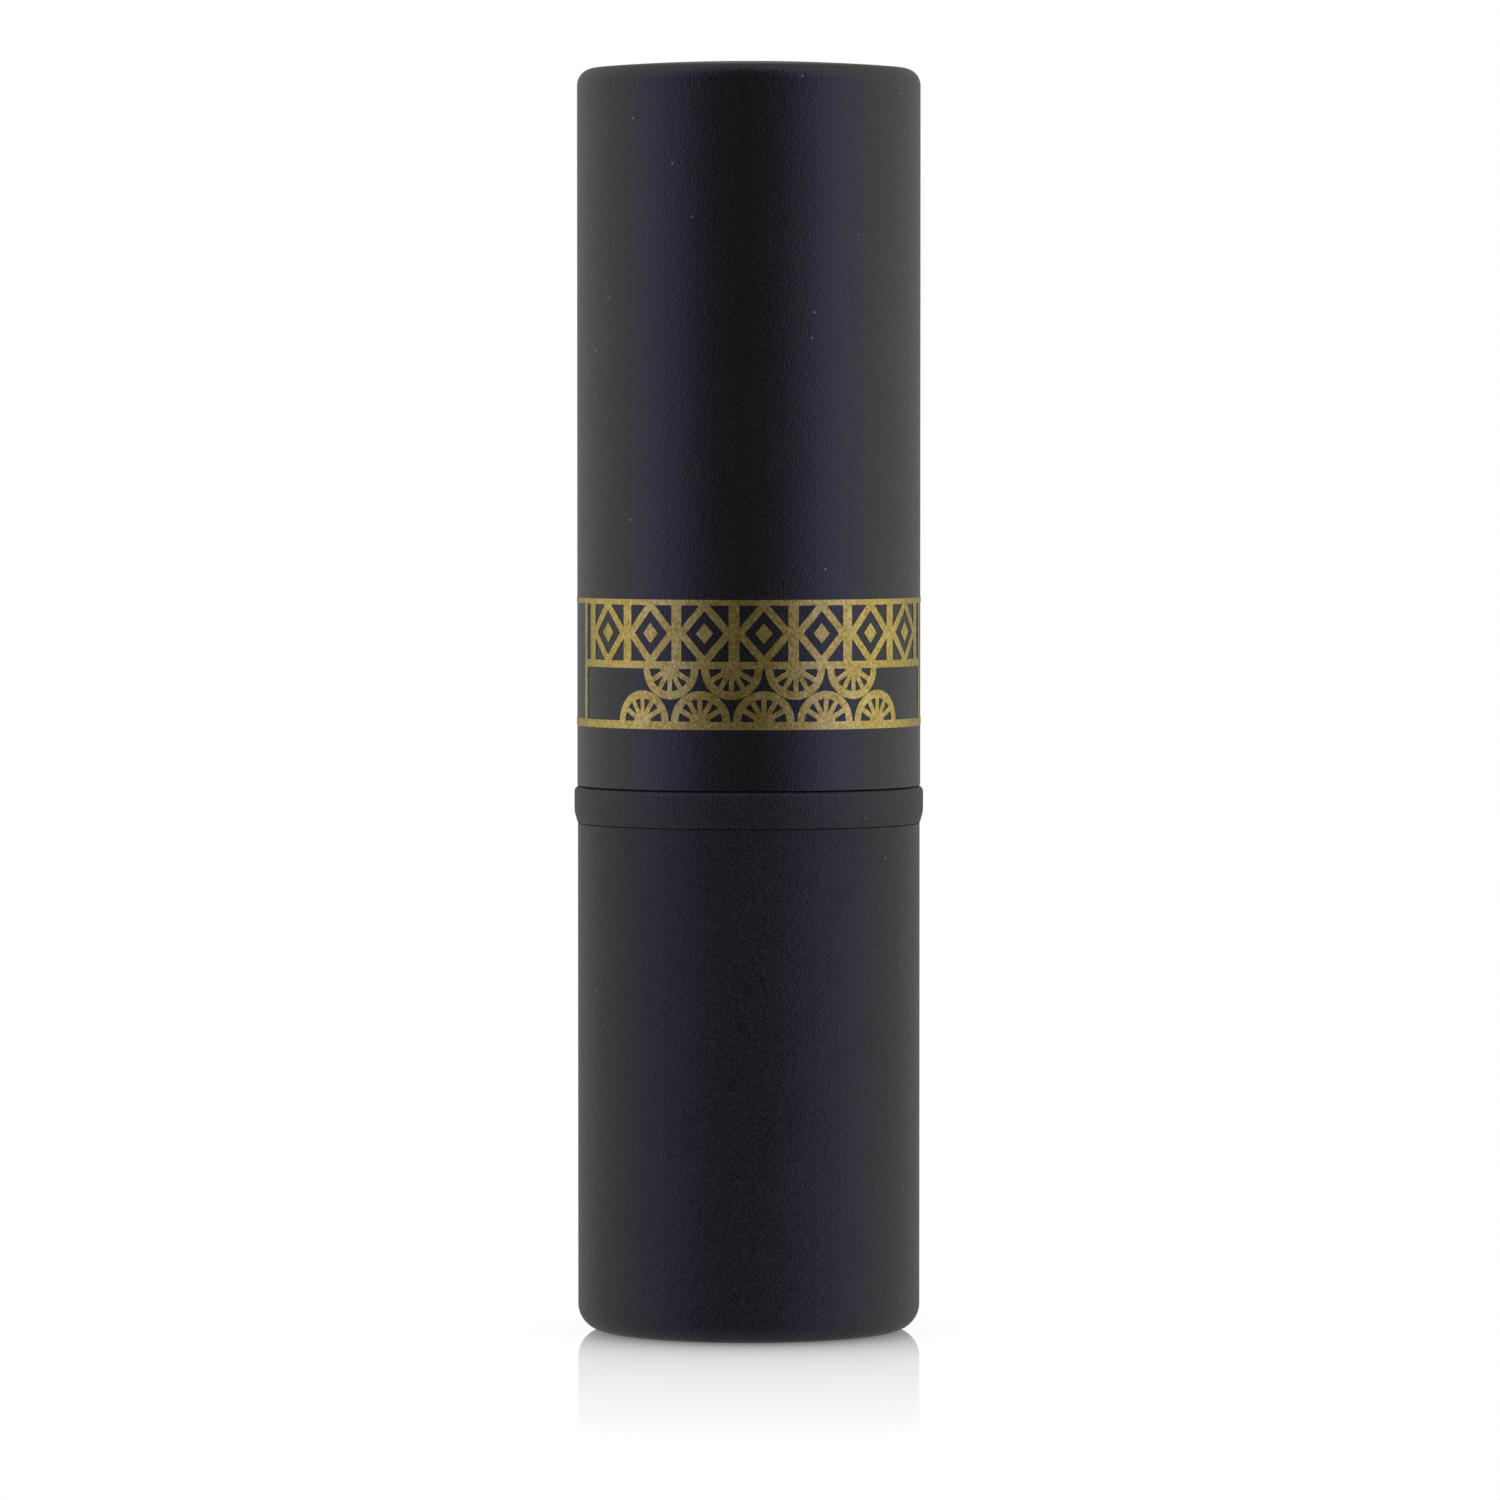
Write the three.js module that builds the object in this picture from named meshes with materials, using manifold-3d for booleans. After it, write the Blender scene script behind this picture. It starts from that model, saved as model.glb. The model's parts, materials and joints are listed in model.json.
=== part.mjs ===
// Lipstick case: a round twist-up case with a pull-off cap, standing on its base.
//
// Millimetres, +Z up. The origin is the centre of the foot, on the surface the case stands on, and
// every piece is round about Z. The case comes apart into four groups:
//   base     the outer shell, its liner, the steel weight and the slotted guide tube pressed into it
//   barrel   the metal sleeve, the helical sleeve inside it and the collar ring, which turn together
//   carrier  the cup with its two lugs, and the lipstick standing in it
//   cap      the outer shell, its liner and the gold band printed on it
// Each lug reaches out through a straight slot of the guide tube into a helical groove of the barrel,
// so turning the barrel on the base makes the cup climb.

import * as THREE from "three";
import { mergeVertices } from "three/addons/utils/BufferGeometryUtils.js";
import Module from "manifold-3d";

const wasm = await Module();
wasm.setup();

// Driving dimensions
const CASE_HEIGHT = 73.9;
const CASE_RADIUS = 10;
const BASE_RADIUS = 9.97;
const COLLAR_RADIUS = 10.17;
const COLLAR_BOTTOM = 29.65;
const COLLAR_TOP = 31.8;
const SEAM = 0.06; // the fine line above and below the collar
const FOOT_ROUNDING = 1.55;
const CROWN_ROUNDING = 1;
const CROWN_SAG = 0.44; // how much lower the domed top would be at the cap's radius
const LIP_TOP = 52; // top of the barrel, under the cap
const BULLET_RADIUS = 5.95;
const TRAVEL = 20; // how far the cup climbs
const LEAD = 16; // how far it climbs in one turn of the barrel

// Walls and running gaps
const SHELL_WALL = 0.67;
const LINER_WALL = 0.5;
const CUP_WALL = 0.4;
const GUIDE_WALL = 0.55;
const HELIX_WALL = 1;
const SLEEVE_WALL = 0.3;
const GLUE_GAP = 0.05; // between pieces that are pressed or glued together
const RUNNING_GAP = 0.1; // between pieces that slide or turn on each other

const FACETS = 48; // sides of every round piece
const TURN = 2 * Math.PI;

// Radii, worked outwards from the lipstick, then inwards from the shells
const CUP_BORE = BULLET_RADIUS + RUNNING_GAP;
const CUP_RADIUS = CUP_BORE + CUP_WALL;
const GUIDE_BORE = CUP_RADIUS + RUNNING_GAP;
const GUIDE_RADIUS = GUIDE_BORE + GUIDE_WALL;
const HELIX_BORE = GUIDE_RADIUS + RUNNING_GAP;
const HELIX_RADIUS = HELIX_BORE + HELIX_WALL;
const SLEEVE_BORE = HELIX_RADIUS + GLUE_GAP;
const SLEEVE_RADIUS = SLEEVE_BORE + SLEEVE_WALL;
const SHELL_BORE = CASE_RADIUS - SHELL_WALL;
const LINER_RADIUS = SHELL_BORE - GLUE_GAP;
const LINER_BORE = LINER_RADIUS - LINER_WALL;

// The carrier, wound right down
const CUP_HEIGHT = 12;
const CUP_TOP = LIP_TOP - 0.5 - TRAVEL;
const CUP_BOTTOM = CUP_TOP - CUP_HEIGHT;
const CUP_FLOOR = CUP_BOTTOM + 1;
const LUG_RADIUS = 1.1;
const LUG_GAP = 0.15;
const LUG_HEIGHT = CUP_BOTTOM + 2.4;
const BULLET_TIP = LIP_TOP - 1.4;

// Heights inside the base
const BASE_TOP = COLLAR_BOTTOM - SEAM;
const FLOOR = 1.3;
const WEB_BOTTOM = 11;
const WEB_TOP = 12;
const SKIRT_TOP = CUP_BOTTOM - 0.9;
const HELIX_BOTTOM = SKIRT_TOP + 1.1;
const HELIX_TOP = LIP_TOP - 1.35;
const LIP_THICKNESS = 0.35;

// Heights of the cap
const CAP_BOTTOM = COLLAR_TOP + SEAM;
const SHELL_CEILING = CASE_HEIGHT - 1.15;
const LINER_CEILING = SHELL_CEILING - 0.65;
const BAND_BOTTOM = 35.35;
const BAND_TOP = 42.8;

// ---------------------------------------------------------------- shape helpers

// The corner at `at` rounded to `radius`, as the points of its arc.
function roundCorner(before, at, after, radius, steps) {
  const back = before.clone().sub(at).normalize();
  const ahead = after.clone().sub(at).normalize();
  const half = Math.acos(back.dot(ahead)) / 2;
  const middle = back.clone().add(ahead).setLength(radius / Math.sin(half));
  const from = back.multiplyScalar(radius / Math.tan(half)).sub(middle);
  const to = ahead.multiplyScalar(radius / Math.tan(half)).sub(middle);
  const sweep = Math.atan2(from.cross(to), from.dot(to));
  return Array.from({ length: steps + 1 }, (_, i) =>
    from.clone().rotateAround(new THREE.Vector2(), (sweep * i) / steps).add(middle).add(at));
}

// An outline from corners [radius, height] or [radius, height, rounding, steps].
function outline(corners) {
  const points = corners.map(([r, z]) => new THREE.Vector2(r, z));
  return corners.flatMap(([, , rounding, steps = 3], i) =>
    rounding
      ? roundCorner(points.at(i - 1), points[i], points[(i + 1) % points.length], rounding, steps)
      : [points[i]]);
}

// A round solid: the outline starts on the axis underneath, goes out and up, and ends on the axis.
function turned(corners) {
  return new THREE.LatheGeometry(outline(corners), FACETS).rotateX(Math.PI / 2);
}

// A round solid with a hole through it: the outline goes out, up, in and down again.
function turnedRing(corners) {
  const points = outline(corners);
  return new THREE.LatheGeometry([...points, points[0].clone()], FACETS).rotateX(Math.PI / 2);
}

// A bar bent about Z, `size` being its depth, its angle and its height, and `from` the radius,
// angle and height it starts at. It climbs by `lead` in one turn.
function bentBar(from, size, lead = 0, steps = 1) {
  const bar = new THREE.BoxGeometry(...size, 1, steps, 1);
  bar.translate(...from.map((start, i) => start + size[i] / 2));
  const position = bar.attributes.position;
  for (let i = 0; i < position.count; i++) {
    const radius = position.getX(i);
    const angle = position.getY(i);
    const height = position.getZ(i) + (lead * angle) / TURN;
    position.setXYZ(i, radius * Math.cos(angle), radius * Math.sin(angle), height);
  }
  return bar;
}

// `count` copies of a geometry, evenly turned about Z.
function around(geometry, count) {
  return Array.from({ length: count }, (_, i) => geometry.clone().rotateZ((TURN * i) / count));
}

function toSolid(geometry) {
  const bare = geometry.clone().deleteAttribute("normal").deleteAttribute("uv");
  const merged = mergeVertices(bare, 1e-4);
  return new wasm.Manifold(new wasm.Mesh({
    numProp: 3,
    vertProperties: merged.attributes.position.array,
    triVerts: new Uint32Array(merged.index.array),
  }));
}

function toGeometry(solid) {
  const mesh = solid.getMesh();
  const geometry = new THREE.BufferGeometry();
  geometry.setAttribute("position", new THREE.BufferAttribute(mesh.vertProperties, 3));
  geometry.setIndex(new THREE.BufferAttribute(mesh.triVerts, 1));
  const faceted = geometry.toNonIndexed();
  faceted.computeVertexNormals();
  return faceted;
}

function cut(body, tools) {
  return toGeometry(tools.reduce((left, tool) => left.subtract(toSolid(tool)), toSolid(body)));
}

function join(body, extras) {
  return toGeometry(extras.reduce((whole, extra) => whole.add(toSolid(extra)), toSolid(body)));
}

// ---------------------------------------------------------------- base

// A round can with a shallow recess under its foot for the label.
function baseShell() {
  const recessRadius = 7;
  const recessDepth = 0.3;
  return turned([
    [0, recessDepth], [recessRadius, recessDepth], [recessRadius, 0],
    [BASE_RADIUS, 0, FOOT_ROUNDING, 5], [BASE_RADIUS, BASE_TOP, 0.1, 1],
    [SHELL_BORE, BASE_TOP], [SHELL_BORE, FLOOR], [0, FLOOR],
  ]);
}

// A tube with a web across it: the weight sits below the web, the guide tube above it.
function baseLiner() {
  const foot = FLOOR + 0.2;
  const weightBore = LINER_BORE - 0.1;
  const glueHole = 2;
  return turnedRing([
    [glueHole, WEB_BOTTOM], [weightBore, WEB_BOTTOM], [weightBore, foot],
    [LINER_RADIUS, foot], [LINER_RADIUS, BASE_TOP],
    [LINER_BORE, BASE_TOP], [LINER_BORE, WEB_TOP], [glueHole, WEB_TOP],
  ]);
}

function baseWeight() {
  const radius = LINER_BORE - 0.1 - GLUE_GAP;
  const hole = 2.5;
  const bottom = FLOOR + 0.2;
  const top = WEB_BOTTOM - 0.1;
  return turnedRing([[hole, bottom], [radius, bottom, 0.5, 1], [radius, top, 0.5, 1], [hole, top]]);
}

// A printed disc in the recess of the foot, clear of the table.
function shadeLabel() {
  return turned([[0, 0.12], [6.7, 0.12], [6.7, 0.25], [0, 0.25]]);
}

// Closed at the foot, with a skirt that presses into the liner, two straight slots for the cup's
// lugs, and a flange at the top that keeps the helical sleeve on.
function guideTube() {
  const foot = WEB_TOP + GLUE_GAP;
  const skirt = LINER_BORE - GLUE_GAP;
  const flange = HELIX_RADIUS - 0.3;
  const flangeBottom = HELIX_TOP + RUNNING_GAP;
  const flangeTop = LIP_TOP - LIP_THICKNESS - RUNNING_GAP;
  const tube = turned([
    [0, foot], [skirt, foot, 0.4, 1], [skirt, SKIRT_TOP], [GUIDE_RADIUS, SKIRT_TOP],
    [GUIDE_RADIUS, flangeBottom], [flange, flangeBottom], [flange, flangeTop],
    [GUIDE_BORE, flangeTop, 0.2, 1], [GUIDE_BORE, foot + 1.2], [0, foot + 1.2],
  ]);
  const slotWidth = 2 * (LUG_RADIUS + LUG_GAP);
  const slots = new THREE.BoxGeometry(3 * GUIDE_RADIUS, slotWidth, TRAVEL + slotWidth);
  return cut(tube, [slots.translate(0, 0, LUG_HEIGHT + TRAVEL / 2)]);
}

// A soft ring between the guide tube's shoulder and the helical sleeve. Its drag keeps the
// lipstick where it is set.
function brakeRing() {
  const section = 0.44;
  const middle = (GUIDE_RADIUS + HELIX_RADIUS) / 2;
  const height = (SKIRT_TOP + HELIX_BOTTOM) / 2;
  return new THREE.TorusGeometry(middle, section, 8, FACETS).translate(0, 0, height);
}

// ---------------------------------------------------------------- barrel

// A drawn metal tube. Its lip is rolled in over the mechanism, and the cap clicks over its bead.
function barrelSleeve() {
  const foot = SKIRT_TOP + 2;
  const bead = COLLAR_TOP + 3;
  const beadRadius = SLEEVE_RADIUS + 0.07;
  const lipBore = GUIDE_BORE + 0.15;
  const ceiling = LIP_TOP - LIP_THICKNESS;
  return turnedRing([
    [SLEEVE_BORE, foot], [SLEEVE_RADIUS, foot], [SLEEVE_RADIUS, bead - 0.4], [beadRadius, bead],
    [SLEEVE_RADIUS, bead + 0.4], [SLEEVE_RADIUS, LIP_TOP, 0.7, 3],
    [lipBore, LIP_TOP, 0.12, 1], [lipBore, ceiling], [SLEEVE_BORE, ceiling, 0.3, 1],
  ]);
}

// The cam of the mechanism: a plain tube with two helical grooves cut into its bore.
function helicalSleeve() {
  const tube = turnedRing([
    [HELIX_BORE, HELIX_BOTTOM], [HELIX_RADIUS, HELIX_BOTTOM],
    [HELIX_RADIUS, HELIX_TOP], [HELIX_BORE, HELIX_TOP],
  ]);
  const slope = Math.atan2(LEAD, TURN * HELIX_BORE);
  const halfWidth = (LUG_RADIUS + LUG_GAP) / Math.cos(slope);
  const overrun = (LUG_RADIUS + 2 * LUG_GAP) / HELIX_BORE; // past the lug at each end, in radians
  const sweep = (TURN * TRAVEL) / LEAD + 2 * overrun;
  const start = HELIX_BORE - 0.5;
  const depth = 1.15;
  const groove = bentBar(
    [start, -overrun, LUG_HEIGHT - halfWidth], [depth, sweep, 2 * halfWidth], LEAD, FACETS);
  return cut(tube, around(groove, 2));
}

function collarRing() {
  const bore = SLEEVE_RADIUS + GLUE_GAP;
  const foot = CASE_RADIUS - 0.02;
  return turnedRing([
    [bore, COLLAR_BOTTOM], [foot, COLLAR_BOTTOM], [COLLAR_RADIUS, COLLAR_BOTTOM + 0.65, 0.6, 2],
    [COLLAR_RADIUS, COLLAR_TOP, 0.35, 3], [bore, COLLAR_TOP],
  ]);
}

// ---------------------------------------------------------------- carrier

function bulletCup() {
  const vent = 1.5;
  const cup = turnedRing([
    [vent, CUP_BOTTOM], [CUP_RADIUS, CUP_BOTTOM, 0.4, 1], [CUP_RADIUS, CUP_TOP],
    [CUP_BORE, CUP_TOP, 0.2, 1], [CUP_BORE, CUP_FLOOR], [vent, CUP_FLOOR],
  ]);
  const root = CUP_BORE + CUP_WALL / 4;
  const reach = HELIX_BORE + 0.45;
  const lug = new THREE.CylinderGeometry(LUG_RADIUS, LUG_RADIUS, reach - root, 16);
  lug.rotateZ(Math.PI / 2).translate((reach + root) / 2, 0, LUG_HEIGHT);
  return join(cup, around(lug, 2));
}

// A moulded stick with a rounded crown, cut off at a slant.
function lipstickBullet() {
  const foot = CUP_FLOOR + GLUE_GAP;
  const stick = turned([
    [0, foot], [BULLET_RADIUS, foot, 0.5, 1], [BULLET_RADIUS, BULLET_TIP, 2.6, 4], [0, BULLET_TIP],
  ]);
  const slant = THREE.MathUtils.degToRad(48);
  const facing = THREE.MathUtils.degToRad(-40);
  const above = new THREE.BoxGeometry(40, 40, 20).translate(0, 0, 10).rotateY(slant);
  above.translate(-0.62 * BULLET_RADIUS, 0, BULLET_TIP).rotateZ(facing);
  return cut(stick, [above]);
}

// ---------------------------------------------------------------- cap

// A round can, mouth down, whose top is slightly domed.
function capShell() {
  const crown = (share) => [CASE_RADIUS * share, CASE_HEIGHT - CROWN_SAG * share ** 2];
  return turned([
    [0, SHELL_CEILING], [SHELL_BORE, SHELL_CEILING], [SHELL_BORE, CAP_BOTTOM],
    [CASE_RADIUS, CAP_BOTTOM, 0.1, 1], [...crown(1), CROWN_ROUNDING, 4],
    crown(0.7), crown(0.35), [0, CASE_HEIGHT],
  ]);
}

// The inner cap, with upright ribs that grip the barrel.
function capLiner() {
  const foot = CAP_BOTTOM + 0.1;
  const cup = turned([
    [0, LINER_CEILING], [LINER_BORE, LINER_CEILING, 0.4, 2], [LINER_BORE, foot, 0.25, 1],
    [LINER_RADIUS, foot], [LINER_RADIUS, SHELL_CEILING - GLUE_GAP], [0, SHELL_CEILING - GLUE_GAP],
  ]);
  const ribDepth = 0.1;
  const ribAngle = 0.06;
  const rib = bentBar(
    [LINER_BORE - ribDepth, -ribAngle / 2, foot + 1.5], [ribDepth + LINER_WALL / 2, ribAngle, 13]);
  return join(cup, around(rib, 8));
}

// The gold band hot-stamped round the cap, as a thin plain sleeve.
function goldBand() {
  const inner = CASE_RADIUS + 0.01;
  const outer = CASE_RADIUS + 0.05;
  return turnedRing([
    [inner, BAND_BOTTOM], [outer, BAND_BOTTOM], [outer, BAND_TOP], [inner, BAND_TOP],
  ]);
}

// ---------------------------------------------------------------- materials and assembly

function material(color, roughness, metalness = 0) {
  return new THREE.MeshStandardMaterial({ color, roughness, metalness });
}

const softTouchBlack = material(0x1c1c21, 0.62);
const collarBlack = material(0x1f2023, 0.6);
const linerBlack = material(0x121214, 0.4);
const goldFoil = material(0xa98f45, 0.42, 0.9);
const goldMetal = material(0xd9b563, 0.22, 1);
const steel = material(0x8e9094, 0.4, 1);
const acetal = material(0xe9e6dd, 0.45);
const silicone = material(0xb9bcc0, 0.7);
const labelPaper = material(0xd8d4c8, 0.6);
const lipstickWax = material(0x9c1f33, 0.35);

const pieces = [
  ["base_shell", baseShell(), softTouchBlack],
  ["base_liner", baseLiner(), linerBlack],
  ["base_weight", baseWeight(), steel],
  ["shade_label", shadeLabel(), labelPaper],
  ["guide_tube", guideTube(), acetal],
  ["brake_ring", brakeRing(), silicone],
  ["barrel_sleeve", barrelSleeve(), goldMetal],
  ["helical_sleeve", helicalSleeve(), acetal],
  ["collar_ring", collarRing(), collarBlack],
  ["bullet_cup", bulletCup(), goldMetal],
  ["lipstick_bullet", lipstickBullet(), lipstickWax],
  ["cap_shell", capShell(), softTouchBlack],
  ["cap_liner", capLiner(), linerBlack],
  ["gold_band", goldBand(), goldFoil],
];

const lipstickCase = new THREE.Group();
for (const [name, geometry, finish] of pieces) {
  const mesh = new THREE.Mesh(geometry, finish);
  mesh.name = name;
  lipstickCase.add(mesh);
}

export default lipstickCase;
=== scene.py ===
# Lipstick case: smooth pieces and finished materials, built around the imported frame.
#
# Metres, +Z up. The case stands on z = 0, and nearly every piece is turned about Z. The camera looks
# along +Y, slightly down. Only what the frame doesn't hold is written here: fillets, small gaps and
# the gold pattern.

import json
import math

import bmesh
import bpy
from mathutils import Matrix, Vector, geometry


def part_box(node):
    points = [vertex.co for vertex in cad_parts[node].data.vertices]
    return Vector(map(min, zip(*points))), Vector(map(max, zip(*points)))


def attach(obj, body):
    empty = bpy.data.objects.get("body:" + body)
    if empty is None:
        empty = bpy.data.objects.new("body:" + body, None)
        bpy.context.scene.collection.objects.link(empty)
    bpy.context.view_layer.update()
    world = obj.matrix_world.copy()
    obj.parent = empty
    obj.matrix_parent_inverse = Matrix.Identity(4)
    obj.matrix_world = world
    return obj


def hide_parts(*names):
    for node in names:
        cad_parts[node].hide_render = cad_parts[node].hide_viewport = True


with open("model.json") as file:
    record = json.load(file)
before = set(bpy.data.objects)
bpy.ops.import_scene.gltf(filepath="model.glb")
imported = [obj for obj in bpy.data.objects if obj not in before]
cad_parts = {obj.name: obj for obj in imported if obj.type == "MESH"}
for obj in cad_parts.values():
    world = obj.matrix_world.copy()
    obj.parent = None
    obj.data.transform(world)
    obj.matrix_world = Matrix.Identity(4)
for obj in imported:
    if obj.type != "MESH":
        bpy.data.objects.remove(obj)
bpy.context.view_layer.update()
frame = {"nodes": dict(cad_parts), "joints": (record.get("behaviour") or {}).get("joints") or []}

MM = 0.001
TURN = 2 * math.pi

ROUND_STEPS = 192  # sides of a turned piece
FINE_STEPS = 576  # sides of a turned piece with ribs or grooves
ARC_STEP = math.radians(9)  # the longest step along a rounded corner
SHARP = math.radians(32)  # edges sharper than this stay crisp
SAME_PLACE = 1e-7  # metres; points closer than this are one point
RIM_SHIFT = 0.04 * MM  # how far the rims of cap and base come closer to the collar than in the frame
TIGHT_GAP = 0.05 * MM  # between two pieces that are fixed together
LOOSE_GAP = 0.1 * MM  # between two pieces that move past each other, or have a little room
LUG_PLAY = 0.15 * MM  # between a lug and the sides of its slot or groove

# The camera, about half a metre away and slightly above the middle of the case
CAMERA_DISTANCE = 540 * MM
CAMERA_HEIGHT = 53 * MM
CAMERA_AIM = 33.86 * MM  # the height on the axis that the camera looks at
CAMERA_SIDE = 0.07 * MM  # how far it stands to the right of the axis
LENS = 222.3  # millimetres
SENSOR = 36  # millimetres across


# ---------------------------------------------------------------- measuring the frame

def reach(node, low=-math.inf, high=math.inf):
    """Smallest and largest distance from the axis of a node's corners between two heights."""
    corners = [v.co for v in frame["nodes"][node].data.vertices if low <= v.co.z <= high]
    radii = [corner.xy.length for corner in corners]
    return min(radii), max(radii)


def heights(node):
    """Lowest and highest point of a node."""
    low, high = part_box(node)
    return low.z, high.z


def radius_of(node):
    return reach(node)[1]


# ---------------------------------------------------------------- shaping

def round_corner(before, at, after, radius):
    """The points of the arc that rounds the corner `at`, between its two neighbours."""
    back = (before - at).normalized()
    ahead = (after - at).normalized()
    half = back.angle(ahead) / 2
    middle = at + (back + ahead).normalized() * radius / math.sin(half)
    start = at + back * radius / math.tan(half) - middle
    end = at + ahead * radius / math.tan(half) - middle
    sweep = math.atan2(start.cross(end), start.dot(end))
    steps = max(2, math.ceil(abs(sweep) / ARC_STEP))
    return [middle + Matrix.Rotation(sweep * i / steps, 2) @ start for i in range(steps + 1)]


def outline(corners):
    """Points of an outline from corners (radius, height) or (radius, height, rounding)."""
    places = [Vector(corner[:2]) for corner in corners]
    points = []
    for i, corner in enumerate(corners):
        if len(corner) > 2:
            points += round_corner(places[i - 1], places[i], places[(i + 1) % len(places)], corner[2])
        else:
            points.append(places[i])
    return points


def new_piece(name, mesh_data, body, stands_for, look):
    """A mesh as a finished piece: it rides on its body, and the CAD node whose place it takes is hidden.
    """
    bmesh.ops.recalc_face_normals(mesh_data, faces=mesh_data.faces)
    mesh = bpy.data.meshes.new(name)
    mesh_data.to_mesh(mesh)
    mesh_data.free()
    mesh.shade_smooth()
    mesh.set_sharp_from_angle(angle=SHARP)
    mesh.materials.append(look)
    piece = bpy.data.objects.new(name, mesh)
    bpy.context.scene.collection.objects.link(piece)
    evened = piece.modifiers.new("even_normals", "WEIGHTED_NORMAL")
    evened.keep_sharp = True
    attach(piece, body)
    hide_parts(stands_for)
    return piece


def add_turned(shape, points, steps=ROUND_STEPS, closed=True, relief=None):
    """Adds a round solid to a mesh. Its outline closes on itself, or starts and ends on the axis.
    `relief` gives each corner's radius from its radius, angle and height."""
    rings = []
    for radius, height in points:
        if radius < SAME_PLACE:
            rings.append([shape.verts.new((0, 0, height))])
            continue
        ring = []
        for i in range(steps):
            angle = TURN * i / steps
            out = relief(radius, angle, height) if relief else radius
            ring.append(shape.verts.new((out * math.cos(angle), out * math.sin(angle), height)))
        rings.append(ring)
    pairs = list(zip(rings, rings[1:]))
    if closed:
        pairs.append((rings[-1], rings[0]))
    for first, second in pairs:
        for i in range(steps):
            j = (i + 1) % steps
            corners = [first[i % len(first)], first[j % len(first)],
                       second[j % len(second)], second[i % len(second)]]
            face = list(dict.fromkeys(corners))
            if len(face) > 2:
                shape.faces.new(face)


def turned(points, **options):
    shape = bmesh.new()
    add_turned(shape, points, **options)
    return shape


# ---------------------------------------------------------------- materials

MIX_FIRST, MIX_SECOND, MIX_RESULT = 6, 7, 2  # the colour sockets of a Mix node, by number
CLOUD_SHARE = 0.2  # how much of a mottled black is broad clouds, and not grain
GRAIN_RANGE = (0.38, 0.62)  # the noise values that the grain is spread between
BLACK_GRAIN = 0.13 * MM  # the size of the grain of lacquer and collar
DUST = (0.30, 0.30, 0.29)


class Graph:
    """A node tree, with short calls for the nodes that this script uses. Values are numbers, colours
    as tuples, directions as Vectors, or the outputs of other nodes."""

    def __init__(self, tree):
        self.nodes = tree.nodes
        self.links = tree.links

    def join(self, source, target):
        self.links.new(source, target)

    def feed(self, socket, value):
        if isinstance(value, (int, float, Vector)):
            socket.default_value = value
        elif isinstance(value, tuple):
            socket.default_value = (*value, 1)
        else:
            self.join(value, socket)

    def made(self, kind, *values, **settings):
        """A new node with its settings made and its first sockets fed."""
        node = self.nodes.new(kind)
        for name, setting in settings.items():
            setattr(node, name, setting)
        for socket, value in zip(node.inputs, values):
            self.feed(socket, value)
        return node

    def math(self, operation, first, second=0.0):
        return self.made("ShaderNodeMath", first, second, operation=operation).outputs[0]

    def vector(self, operation, *values):
        """The outputs of a calculation on directions or places."""
        return self.made("ShaderNodeVectorMath", *values, operation=operation).outputs

    def part(self, axis, vector):
        """One coordinate of a direction or place."""
        return self.made("ShaderNodeSeparateXYZ", vector).outputs[axis]

    def spread(self, source, low, high, start=0.3, end=0.7, curve="LINEAR"):
        """A value taken from start..end to low..high, and held there. By default the range is about
        that of a noise."""
        node = self.made("ShaderNodeMapRange", source, interpolation_type=curve)
        for socket, value in zip(("From Min", "From Max", "To Min", "To Max"), (start, end, low, high)):
            node.inputs[socket].default_value = value
        return node.outputs["Result"]

    def mixed(self, share, first, second):
        """One shader over another."""
        return self.made("ShaderNodeMixShader", share, first, second).outputs[0]


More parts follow.
